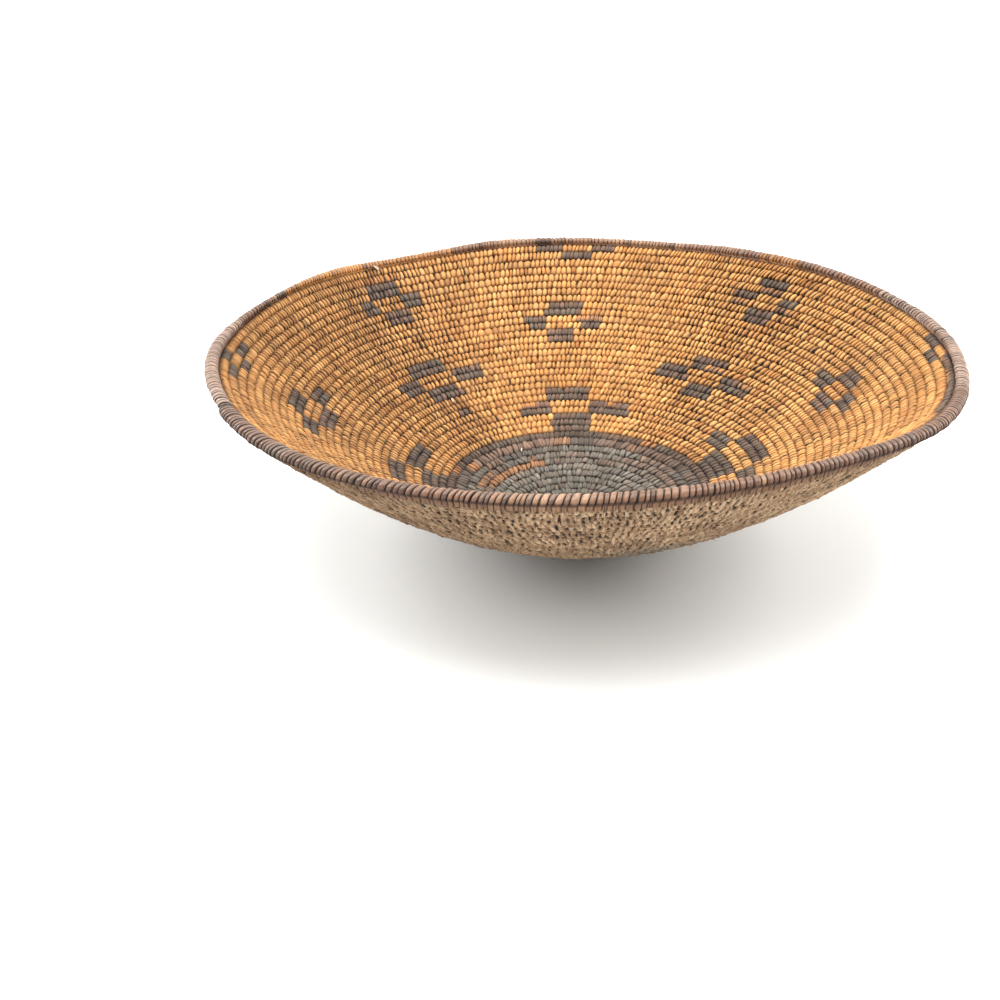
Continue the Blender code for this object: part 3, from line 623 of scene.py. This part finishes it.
def overcast_rim(name):
    rng = np.random.default_rng(77)
    cr = float(surface(np.array(-2.2), np.array(-0.9))[0])
    edges, n = layout(rng, 2 * np.pi * cr, 2.42, 0.20)
    # a slit falls exactly where the coil ends
    end_u = (COIL_END - SEAM_DEG) / 360.0
    near = int(np.argmin(np.abs(edges - end_u)))
    edges = np.interp(edges, [0, edges[near], 1], [0, end_u, 1])
    share, stitch, t = columns(edges, n)
    section = rim_profile()
    B, A = len(section), len(share)
    angle = angle_at(share)
    st = stitch[:, None] + np.zeros(B, int)
    nxt = np.minimum(st + 1, n)
    tt = t[:, None] + np.zeros(B)
    kind = section[:, 3][None, :] + np.zeros((A, 1))
    up0, over0 = section[:, 0], section[:, 1]
    size = 1 + local(angle, RIM_SWELLS) + 0.012 * ripple(rng, share, 20, 80)
    past = (np.degrees(angle) % 360 - COIL_END) % 360
    size = size + 0.13 * np.exp(-(past / 26.0) ** 2) * (past < 180)
    size = size - 0.10 * np.exp(-((360 - past) / 9.0) ** 2) * (past > 180)
    foot = np.array([-0.037, 0.706])
    grow = (size - 1)[:, None]
    wrap_end = section[17, :2]
    reach_up = np.where(section[:, 3] == 1, up0 - foot[0], (wrap_end[0] - foot[0]) * section[:, 2])
    reach_over = np.where(section[:, 3] == 1, over0 - foot[1], (wrap_end[1] - foot[1]) * section[:, 2])
    shift = local(angle, RIM_SHIFTS)[:, None] * section[None, :, 2]
    up = up0[None, :] + grow * reach_up[None, :] + shift * LEVEL[0]
    over = over0[None, :] + grow * reach_over[None, :] + shift * LEVEL[1]
    # outward directions round the section
    ring = np.stack([up0, over0], -1)
    tangent = np.roll(ring, -1, 0) - np.roll(ring, 1, 0)
    normal = np.stack([-tangent[:, 1], tangent[:, 0]], -1)
    normal /= np.linalg.norm(normal, axis=1)[:, None]
    # distance along the section from the top of the coil, inwards positive
    step = np.linalg.norm(np.diff(ring, axis=0), axis=1)
    path = np.concatenate([[0], np.cumsum(step)])
    path = path[8] - path
    # each wrap's own character
    plump = np.clip(1 + 0.13 * rng.standard_normal(n), 0.75, 1.3)
    height = np.clip(0.09 * rng.standard_normal(n), -0.2, 0.2)
    split = (rng.random(n) < 0.30) * rng.uniform(0.4, 1.0, n)
    split_at = rng.uniform(-0.35, 0.35, n)
    gap = 0.03 * rng.random(n + 1)
    wide = rng.random(n + 1) < 0.16
    gap[wide] = 0.05 + 0.12 * rng.random(wide.sum())
    gap[near] = 0.30
    edge_gap = np.where(tt < 0, gap[st], gap[nxt])
    tau = np.abs(tt) / (1 - edge_gap)
    rounded = np.sqrt(np.clip(1 - np.clip(tau, 0, 1) ** 2.6, 0, 1))
    slit = split[st] * np.exp(-((tt - split_at[st]) / 0.16) ** 2)
    tail_at = rng.uniform(-0.25, 0.25, n)
    tail = np.exp(-((tt - tail_at[st]) / 0.22) ** 2) * (kind == 0.5)
    amount = np.where(kind == 1, 1.05, np.where(kind == 0.5, 0.55, 0.0))
    at_end = np.exp(-(((np.degrees(angle)[:, None] % 360) - COIL_END) / 0.55) ** 2) * section[None, :, 2]
    relief = amount * plump[st] * (rounded - 1) - 1.1 * at_end - 0.15 * slit * (kind > 0) - 0.20 * tail + height[st] * (kind > 0)
    up = up + relief * normal[None, :, 0]
    over = over + relief * normal[None, :, 1]
    tilt = 0.035 * rng.standard_normal(n + 1)
    side = (tt + 1) / 2
    own = tilt[st] * (1 - side) + tilt[nxt] * side
    fade = (smooth(share / 0.004) * smooth((1 - share) / 0.004))[:, None]
    calm = np.clip(path, -6.5, 5.0)[None, :]
    lean = (rim_lean(angle)[:, None] + own) * calm * fade
    r, z = surface(-up, over)
    P = place(r, z, angle[:, None] + lean / r)
    # the ragged foot of the splint ends
    # each wrap's colour
    deg = np.degrees(angle_at((edges[1:] + edges[:-1]) / 2))
    colour = rim_colours(deg, rng)[st]
    # painted highlight on the upward-facing crest, less on orange runs; painted shade under the turn; and pale worn
    # splint ends
    up_facing = (normal @ np.array([UPRIGHT[0], UPRIGHT[1]]))[None, :] + 0 * r
    outward = (normal @ np.array([LEVEL[0], LEVEL[1]]))[None, :] + 0 * r
    wraps = (kind == 1)
    golden = np.clip((colour[..., 0] / colour[..., 2] - 3.4) / 2.0, 0, 1)
    colour = lerp(colour, colour * 0.7 + np.array([0.158, 0.110, 0.080]), 0.50 * (1 - 0.85 * golden) * smooth((up_facing - 0.50) / 0.4) * wraps)
    # painted shade under the turn of the wraps
    under = smooth((-up_facing + 0.38) / 0.70) * wraps * (outward > -0.3)
    colour = lerp(colour, np.array([0.052, 0.020, 0.009]), 0.93 * under)
    # painted shade low on the inner side of the wraps, less on light runs
    inner_foot_shade = smooth((-outward - 0.62) / 0.32) * wraps
    light_run = np.clip((colour[..., 0] - 0.20) / 0.15, 0, 1)
    colour = lerp(colour, np.array([0.060, 0.036, 0.026]), 0.10 * inner_foot_shade * (1 - 0.75 * light_run))
    ends = (kind == 0.5)
    fall = np.clip((-over0 - 3.8) / 1.1, 0, 1)[None, :]
    colour = lerp(colour, np.array([0.235, 0.128, 0.070]), (0.35 + 0.50 * fall) * ends)
    # dirt and painted shade in the slits between wraps, more at the two sides, less at the back
    dirt_and_painted_shade = np.clip((tau - 0.68 + 0.10 * smooth((np.abs(np.cos(angle)) - 0.5) / 0.3)[:, None]) / 0.20, 0, 1) * np.where(ends, 0.74, 0.97)
    dirt_and_painted_shade = dirt_and_painted_shade * (1 - 0.45 * smooth((np.sin(angle) - 0.2) / 0.5))[:, None]
    colour = lerp(colour, PAINTED_HOLE_SHADE, dirt_and_painted_shade)
    # black painted shade in splits, between the splint ends and in the gap where the coil ends
    colour = lerp(colour, PAINTED_HOLE_SHADE, np.clip(0.5 * slit + 0.45 * tail + 1.7 * at_end, 0, 0.96))
    rough = 0.20 + 0.4 * dirt_and_painted_shade + 0.55 * under + 0.55 * ends + 0.05 * rng.standard_normal(n)[st]
    length_mm = share * 2 * np.pi * cr
    along = np.concatenate([[0], np.cumsum(step)])
    grain = np.stack([length_mm[:, None] + lean, along[None, :] + 0 * lean], -1)
    return grid_mesh(name, P, np.clip(colour, 0.004, 1), rough, grain, 8)


def run_in_coil(name):
    """The dark coil that thins out under the rim."""
    u0 = 0.66
    top = lambda u: np.full_like(u, FIRST_GROOVE - 0.2)
    obj = sewn_round(name, 0, lo=top, hi=lambda u: groove_at(0, u), u_range=(u0, 1.0), seed=5)
    return obj


# ---------------------------------------------------------------- loose fibres
def strips(name, courses, colours, radius, sides=5):
    """Thin tapering splint fibres: each course is a list of points, all joined
    into one mesh of closed tubes."""
    verts, faces, tints, uvs = [], [], [], []
    for course, tint, thick in zip(courses, colours, radius):
        course = np.asarray(course)
        m = len(course)
        direction = np.gradient(course, axis=0)
        direction /= np.linalg.norm(direction, axis=1)[:, None]
        side = np.cross(direction, np.array([0.0, 0.0, 1.0]))
        side /= np.maximum(np.linalg.norm(side, axis=1)[:, None], 1e-9)
        over = np.cross(side, direction)
        taper = np.sin(np.pi * (0.06 + 0.90 * np.arange(m) / (m - 1))) ** 0.5
        base = len(verts)
        for i in range(m):
            for q in range(sides):
                a = 2 * np.pi * q / sides
                verts.append(course[i] + thick * taper[i] * MM * (side[i] * math.cos(a) * 1.6 + over[i] * math.sin(a)))
                tints.append(tint)
        for i in range(m - 1):
            for q in range(sides):
                q2 = (q + 1) % sides
                faces.append((base + i * sides + q, base + i * sides + q2, base + (i + 1) * sides + q2, base + (i + 1) * sides + q))
        faces.append(tuple(base + q for q in range(sides - 1, -1, -1)))
        faces.append(tuple(base + (m - 1) * sides + q for q in range(sides)))
    mesh = bpy.data.meshes.new(name)
    mesh.from_pydata([tuple(v) for v in verts], [], faces)
    mesh.update()
    mesh.shade_smooth()
    col = mesh.attributes.new("tint", "FLOAT_COLOR", "POINT")
    rgba = np.concatenate([np.array(tints), np.ones((len(tints), 1))], 1)
    col.data.foreach_set("color", rgba.astype(np.float32).ravel())
    ro = mesh.attributes.new("worn", "FLOAT", "POINT")
    ro.data.foreach_set("value", np.full(len(verts), 0.8, np.float32))
    layer = mesh.uv_layers.new(name="grain")
    per = np.empty(len(mesh.loops), np.int32)
    mesh.loops.foreach_get("vertex_index", per)
    V = np.array(verts) / MM
    layer.data.foreach_set("uv", np.stack([V[per, 0], V[per, 2]], -1).astype(np.float32).ravel())
    obj = bpy.data.objects.new(name, mesh)
    bpy.context.scene.collection.objects.link(obj)
    return obj


def outer_fibres(name, count=1100):
    """Split fibres that lie over the weathered outside."""
    rng = np.random.default_rng(31)
    courses, colours, radius = [], [], []
    for _ in range(count):
        s = rng.uniform(6, 150) if rng.random() < 0.85 else rng.uniform(6, 40)
        phi = rng.uniform(0, 2 * np.pi)
        length = rng.uniform(2.5, 7.0)
        heading = rng.normal(0.0, 0.75) + (np.pi / 2 if rng.random() < 0.35 else 0.0)
        bend = rng.normal(0, 0.10)
        m = 7
        q = np.linspace(-0.5, 0.5, m)
        r0 = float(surface(np.array(s), np.array(-5.2))[0])
        if r0 < 22:
            continue
        along = length * (q * math.cos(heading) - bend * (4 * q * q) * math.sin(heading))
        across = length * (q * math.sin(heading) + bend * (4 * q * q) * math.cos(heading))
        lift = 5.22 + 0.10 * rng.random() + (0.5 * rng.random() if rng.random() < 0.12 else 0.0) * np.clip(q * 2, 0, 1) ** 2
        r, z = surface(s + across, -(lift + 0 * q))
        z = np.maximum(z, 0.15)
        courses.append(place(r, z, phi + along / r0))
        pale = rng.random() ** 0.7
        colours.append((OUT_TAN * 0.9 * (1 - pale) + OUT_PALE * 1.12 * pale) * rng.uniform(0.85, 1.1))
        radius.append(rng.uniform(0.06, 0.12))
    # a few torn ends that stand off the lowest part of the front
    for phi, s, length in ((262.0, 112.0, 5.0), (264.5, 118.0, 6.0), (258.0, 108.0, 4.0), (296.0, 84.0, 4.5), (248.0, 84.0, 3.5)):
        m = 7
        q = np.linspace(0, 1, m)
        r, z = surface(s + 0.4 * length * q, -(5.1 + 1.3 * q ** 1.5))
        courses.append(place(r, np.maximum(z, 0.2), np.radians(phi) + length * q / 90.0))
        colours.append(OUT_PALE)
        radius.append(0.14)
    return strips(name, courses, colours, radius)


def pale_splinters(name):
    """Three pale splinters: the raw wood of broken stitches on the inside."""
    rng = np.random.default_rng(8)
    courses, colours, radius = [], [], []
    for phi, s0, s1, drift_, thick in ((128.9, -0.6, 3.6, -1.6, 0.42), (128.5, -0.4, 3.2, -1.2, 0.3), (131.2, 97.6, 100.6, 1.0, 0.36),
                                       (118.0, 144.5, 147.0, 1.5, 0.3)):
        m = 8
        q = np.linspace(0, 1, m)
        s = s0 + (s1 - s0) * q
        lift = 0.62 + 0.28 * np.sin(np.pi * q)
        r, z = surface(s, lift)
        courses.append(place(r, z, np.radians(phi) + drift_ * q / r))
        colours.append(np.array([0.66, 0.55, 0.42]))
        radius.append(thick)
    return strips(name, courses, colours, radius)


# --------------------------------------------------------------------- bundles
def bundle(name, k0, k1, u_start, inset=1.45):
    """The stem bundle inside the sewing, one smooth spiral."""
    parts = []
    for k in range(k0, k1 + 1):
        radius = float(surface(float(groove(max(k - 0.5, 0.4))), 0)[0])
        count = int(np.clip(radius * 0.5, 14, 72))
        u = np.linspace(u_start if k == k0 else 0.0, 1.0, count, endpoint=(k == k1))
        s0, s1 = groove_at(k - 1, u), groove_at(k, u)
        parts.append(np.stack([u, (s0 + s1) / 2, np.maximum((s1 - s0) / 2 - inset, 0.25)], -1))
    course = np.concatenate(parts)
    u, sc, w = course[:, 0], course[:, 1], course[:, 2]
    b = np.linspace(0, 2 * np.pi, 10, endpoint=False)
    ss = sc[:, None] - w[:, None] * np.cos(b)[None, :]
    nn = -2.45 + 1.15 * np.sin(b)[None, :] + 0 * ss
    r, z = surface(ss, nn)
    P = place(r, np.maximum(z, 0.9), angle_at(u)[:, None] + 0 * r)
    return closed_tube(name, P)


def closed_tube(name, P):
    """A plain smooth tube with end caps."""
    A, B, _ = P.shape
    i = np.arange(A - 1)[:, None]
    j = np.arange(B)[None, :]
    j2 = (j + 1) % B
    quads = np.stack([i * B + j, (i + 1) * B + j, (i + 1) * B + j2, i * B + j2], -1).reshape(-1, 4)
    faces = [tuple(q) for q in quads.tolist()]
    faces += [tuple(range(B)), tuple((A - 1) * B + q for q in range(B - 1, -1, -1))]
    mesh = bpy.data.meshes.new(name)
    mesh.from_pydata(P.reshape(-1, 3).tolist(), [], faces)
    mesh.update()
    mesh.shade_smooth()
    obj = bpy.data.objects.new(name, mesh)
    bpy.context.scene.collection.objects.link(obj)
    return obj


def rim_bundle(name):
    u = np.linspace(0.001, 0.999, 180)
    angle = angle_at(u)
    b = np.linspace(0, 2 * np.pi, 12, endpoint=False)[None, :] + np.zeros((len(u), 1))
    thick = 1.0 + 0.6 * np.minimum(local(angle, RIM_SWELLS), 0)[:, None]
    up = 1.7 + 1.15 * thick * (np.cos(b) * LEVEL[0] + 0.72 * np.sin(b) * UPRIGHT[0])
    over = -0.9 + 1.15 * thick * (np.cos(b) * LEVEL[1] + 0.72 * np.sin(b) * UPRIGHT[1])
    shift = local(angle, RIM_SHIFTS)[:, None]
    r, z = surface(-(up + shift * LEVEL[0]), over + shift * LEVEL[1])
    return closed_tube(name, place(r, z, angle[:, None] + 0 * r))


# ------------------------------------------------------------------------ knot
def knot(name):
    """The start of the coil: a small plaited knot inside the first turn."""
    A = 120
    u = np.linspace(0, 1, A)
    edge = surface(groove_at(ROUNDS, u), 0.0)[0] + 0.05
    angle = angle_at(u)
    f_top = np.linspace(1.0, 0.06, 18)
    rings = []

    def ring(f, top, drop=0.0):
        rr = edge * f
        px, py = rr * np.cos(angle), rr * np.sin(angle)
        q = 3.1
        cell = np.sign(np.sin(px * np.pi / q + 0.4)) * np.sign(np.sin(py * np.pi / q + 0.9))
        across = np.where(cell > 0, np.abs(np.cos(px * np.pi / q + 0.4)), np.abs(np.cos(py * np.pi / q + 0.9)))
        seam = np.clip(across ** 3, 0, 1)
        dome = 0.7 * (1 - f ** 4)
        if top:
            z = FLOOR_Z - 0.5 + dome + (0.35 - 0.55 * seam) * float(smooth((1 - f) / 0.12)) - drop
            c = lerp(CHARCOAL, ASH, np.clip(0.5 + 0.3 * cell, 0, 1))
            # black painted shade along the plait's seams
            c = lerp(c, PAINTED_HOLE_SHADE, 0.85 * seam)
        else:
            z = 0.03 + drop + 0.18 * seam
            c = lerp(OUT_TAN, OUT_BROWN, np.clip(0.5 + 0.3 * cell, 0, 1))
            # black painted shade along the seams underneath
            c = lerp(c, PAINTED_HOLE_SHADE, 0.6 * seam)
        return place(rr, z + 0 * rr, angle), c

    for f in f_top:
        rings.append(ring(f, True, 1.4 if f == 1.0 else 0.0))
    for f in f_top[::-1][0:-1:2]:
        rings.append(ring(f, False))
    rings.append(ring(1.0, False, 1.0))
    P = np.stack([q[0] for q in rings], 1)
    C = np.stack([q[1] for q in rings], 1)
    B = P.shape[1]
    verts = P.reshape(-1, 3)
    n_top = len(f_top)
    centre_top = P[:, n_top - 1].mean(0)
    centre_bottom = P[:, n_top].mean(0)
    verts = np.concatenate([verts, [centre_top], [centre_bottom]])
    ct, cb = len(verts) - 2, len(verts) - 1
    faces = []
    for i in range(A):
        i2 = (i + 1) % A
        for j in range(B):
            j2 = (j + 1) % B
            if j == n_top - 1:
                faces.append((i * B + j, i2 * B + j, ct))
                faces.append((i * B + j2, cb, i2 * B + j2))
            else:
                faces.append((i * B + j, i2 * B + j, i2 * B + j2, i * B + j2))
    mesh = bpy.data.meshes.new(name)
    mesh.from_pydata(verts.tolist(), [], faces)
    mesh.update()
    mesh.shade_smooth()
    colour = np.concatenate([C.reshape(-1, 3), [CHARCOAL], [OUT_TAN]])
    col = mesh.attributes.new("tint", "FLOAT_COLOR", "POINT")
    col.data.foreach_set("color", np.concatenate([colour, np.ones((len(colour), 1))], 1).astype(np.float32).ravel())
    ro = mesh.attributes.new("worn", "FLOAT", "POINT")
    ro.data.foreach_set("value", np.full(len(colour), 0.6, np.float32))
    layer = mesh.uv_layers.new(name="grain")
    uv = []
    for poly in mesh.polygons:
        for v in poly.vertices:
            uv += [verts[v][0] / MM, verts[v][1] / MM]
    layer.data.foreach_set("uv", np.array(uv, np.float32))
    obj = bpy.data.objects.new(name, mesh)
    bpy.context.scene.collection.objects.link(obj)
    return obj


# ------------------------------------------------------------------- materials
def node(tree, kind, **inputs):
    n = tree.nodes.new(kind)
    for key, value in inputs.items():
        n.inputs[key].default_value = value
    return n


def splint_material(name, fibre=1.0, bump=0.35, blotch=0.25, specular=0.25):
    """Dry split splint: the piece's own tints, fine fibres along each stitch,
    soft blotches, and fibres in the bump."""
    mat = bpy.data.materials.new(name)
    mat.use_nodes = True
    tree = mat.node_tree
    link = tree.links.new
    shader = tree.nodes["Principled BSDF"]
    shader.inputs["Specular IOR Level"].default_value = specular
    tint = tree.nodes.new("ShaderNodeAttribute")
    tint.attribute_name = "tint"
    worn = tree.nodes.new("ShaderNodeAttribute")
    worn.attribute_name = "worn"
    grain = tree.nodes.new("ShaderNodeUVMap")
    grain.uv_map = "grain"
    stretch = tree.nodes.new("ShaderNodeMapping")
    stretch.inputs["Scale"].default_value = (4.2, 0.42, 1.0)
    link(grain.outputs["UV"], stretch.inputs["Vector"])
    fibres = node(tree, "ShaderNodeTexNoise", Scale=1.0, Detail=3.0, Roughness=0.65)
    fibres.noise_dimensions = "2D"
    link(stretch.outputs["Vector"], fibres.inputs["Vector"])
    fine = tree.nodes.new("ShaderNodeMapRange")
    fine.inputs["From Min"].default_value = 0.30
    fine.inputs["From Max"].default_value = 0.72
    fine.inputs["To Min"].default_value = 1 - 0.42 * fibre
    fine.inputs["To Max"].default_value = 1 + 0.30 * fibre
    link(fibres.outputs["Fac"], fine.inputs["Value"])
    place_ = tree.nodes.new("ShaderNodeTexCoord")
    spots = node(tree, "ShaderNodeTexNoise", Scale=55.0, Detail=4.0, Roughness=0.6)
    link(place_.outputs["Object"], spots.inputs["Vector"])
    soft = tree.nodes.new("ShaderNodeMapRange")
    soft.inputs["From Min"].default_value = 0.35
    soft.inputs["From Max"].default_value = 0.70
    soft.inputs["To Min"].default_value = 1 + 0.5 * blotch
    soft.inputs["To Max"].default_value = 1 - blotch
    link(spots.outputs["Fac"], soft.inputs["Value"])
    both = tree.nodes.new("ShaderNodeMath")
    both.operation = "MULTIPLY"
    link(fine.outputs["Result"], both.inputs[0])
    link(soft.outputs["Result"], both.inputs[1])
    scale = tree.nodes.new("ShaderNodeVectorMath")
    scale.operation = "SCALE"
    link(tint.outputs["Vector"], scale.inputs[0])
    link(both.outputs["Value"], scale.inputs["Scale"])
    link(scale.outputs["Vector"], shader.inputs["Base Color"])
    rough = tree.nodes.new("ShaderNodeMath")
    rough.operation = "MULTIPLY_ADD"
    rough.use_clamp = True
    link(fibres.outputs["Fac"], rough.inputs[0])
    rough.inputs[1].default_value = 0.22
    link(worn.outputs["Fac"], rough.inputs[2])
    link(rough.outputs["Value"], shader.inputs["Roughness"])
    raised = node(tree, "ShaderNodeBump", Strength=bump, Distance=0.00018)
    link(fibres.outputs["Fac"], raised.inputs["Height"])
    link(raised.outputs["Normal"], shader.inputs["Normal"])
    return mat


# ----------------------------------------------------------------------- build
willow = splint_material("willow_splint_finish", fibre=0.7, bump=0.40, blotch=0.22, specular=0.30)
claw = splint_material("devils_claw_finish", fibre=0.9, bump=0.45, blotch=0.25, specular=0.25)
polished = splint_material("rim_splint_finish", fibre=0.9, bump=0.45, blotch=0.20, specular=0.36)

pieces = []
for number in range(1, WALL_ROUNDS + 1):
    node_name = "wall_coil_%02d" % number
    obj = sewn_round(node_name.replace("coil", "stitches"), WALL_ROUNDS + 1 - number)
    pieces.append((obj, [node_name], willow, "willow_splint"))
for number in range(1, BASE_ROUNDS + 1):
    node_name = "base_coil_%02d" % number
    obj = sewn_round(node_name.replace("coil", "stitches"), ROUNDS + 1 - number)
    pieces.append((obj, [node_name], claw, "devils_claw_splint"))
pieces.append((knot("knot_plait"), ["start_knot"], claw, "devils_claw_splint"))
pieces.append((overcast_rim("rim_wraps"), ["rim_overcast"], polished, "rim_splint"))
pieces.append((run_in_coil("rim_run_in_stitches"), ["rim_run_in"], polished, "rim_splint"))
pieces.append((outer_fibres("outer_fibres"), [], willow, "willow_splint"))
pieces.append((pale_splinters("pale_splinters"), [], willow, "willow_splint"))

for obj, nodes, material, slot in pieces:
    obj.data.materials.append(material)
    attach(obj, "root")
    if nodes:
        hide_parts(*nodes)

# the stem bundles inside the sewing
stems = bpy.data.materials.new("stem_bundle_finish")
stems.use_nodes = True
_t = stems.node_tree
_co = _t.nodes.new("ShaderNodeTexCoord")
_n = node(_t, "ShaderNodeTexNoise", Scale=900.0, Detail=3.0)
_t.links.new(_co.outputs["Object"], _n.inputs["Vector"])
_r = _t.nodes.new("ShaderNodeValToRGB")
_r.color_ramp.elements[0].color = (0.22, 0.14, 0.07, 1)
_r.color_ramp.elements[1].color = (0.50, 0.37, 0.20, 1)
_t.links.new(_n.outputs["Fac"], _r.inputs["Fac"])
_t.links.new(_r.outputs["Color"], _t.nodes["Principled BSDF"].inputs["Base Color"])
_t.nodes["Principled BSDF"].inputs["Roughness"].default_value = 0.85
for obj, name in ((bundle("stem_bundle", 1, ROUNDS, 0.02), "foundation_bundle"), (rim_bundle("rim_stems"), "rim_foundation")):
    obj.data.materials.append(stems)
    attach(obj, "root")
    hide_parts(name)

# ----------------------------------------------------------------------- stage
bpy.ops.mesh.primitive_plane_add(size=14.0, location=(0.0, 2.0, -0.0002))
floor = bpy.context.object
floor.name = "floor"
paper = bpy.data.materials.new("floor_paper")
paper.use_nodes = True
pb = paper.node_tree.nodes["Principled BSDF"]
pb.inputs["Base Color"].default_value = (0.905, 0.920, 0.908, 1)
pb.inputs["Roughness"].default_value = 0.9
pb.inputs["Specular IOR Level"].default_value = 0.1
floor.data.materials.append(paper)

world = bpy.data.worlds.new("studio")
bpy.context.scene.world = world
world.use_nodes = True
bg = world.node_tree.nodes["Background"]
bg.inputs["Color"].default_value = (1.0, 1.0, 1.0, 1)
bg.inputs["Strength"].default_value = 0.78


def softbox(name, location, target, size, power):
    data = bpy.data.lights.new(name, "AREA")
    data.shape = "SQUARE"
    data.size = size
    data.energy = power
    obj = bpy.data.objects.new(name, data)
    bpy.context.scene.collection.objects.link(obj)
    obj.location = location
    from mathutils import Vector
    obj.rotation_euler = (Vector(target) - Vector(location)).to_track_quat("-Z", "Y").to_euler()
    return obj


softbox("overhead", (-0.1, -0.35, 1.60), (0.0, 0.0, 0.0), 1.2, 28)
softbox("left", (-1.75, 0.25, 1.25), (0.0, 0.0, 0.0), 1.2, 47)
softbox("right", (1.75, 0.25, 1.25), (0.0, 0.0, 0.0), 1.2, 39)
softbox("back", (0.0, 2.0, 1.3), (0.0, 0.0, 0.0), 1.0, 9)
softbox("beyond", (0.0, 3.3, 1.5), (0.0, 3.9, 0.0), 2.5, 90)

camera_data = bpy.data.cameras.new("camera")
camera_data.sensor_width = 36.0
camera_data.lens = 36.0 * 1.246
camera = bpy.data.objects.new("camera", camera_data)
bpy.context.scene.collection.objects.link(camera)
camera.location = ((-39.8 - CENTRE[0]) * MM, (-582.3 - CENTRE[1]) * MM, 0.2978)
camera.rotation_euler = (math.radians(90 - 25.89), 0.0, 0.0)
bpy.context.scene.camera = camera

bpy.context.scene.view_settings.view_transform = "Standard"
bpy.context.scene.view_settings.look = "None"
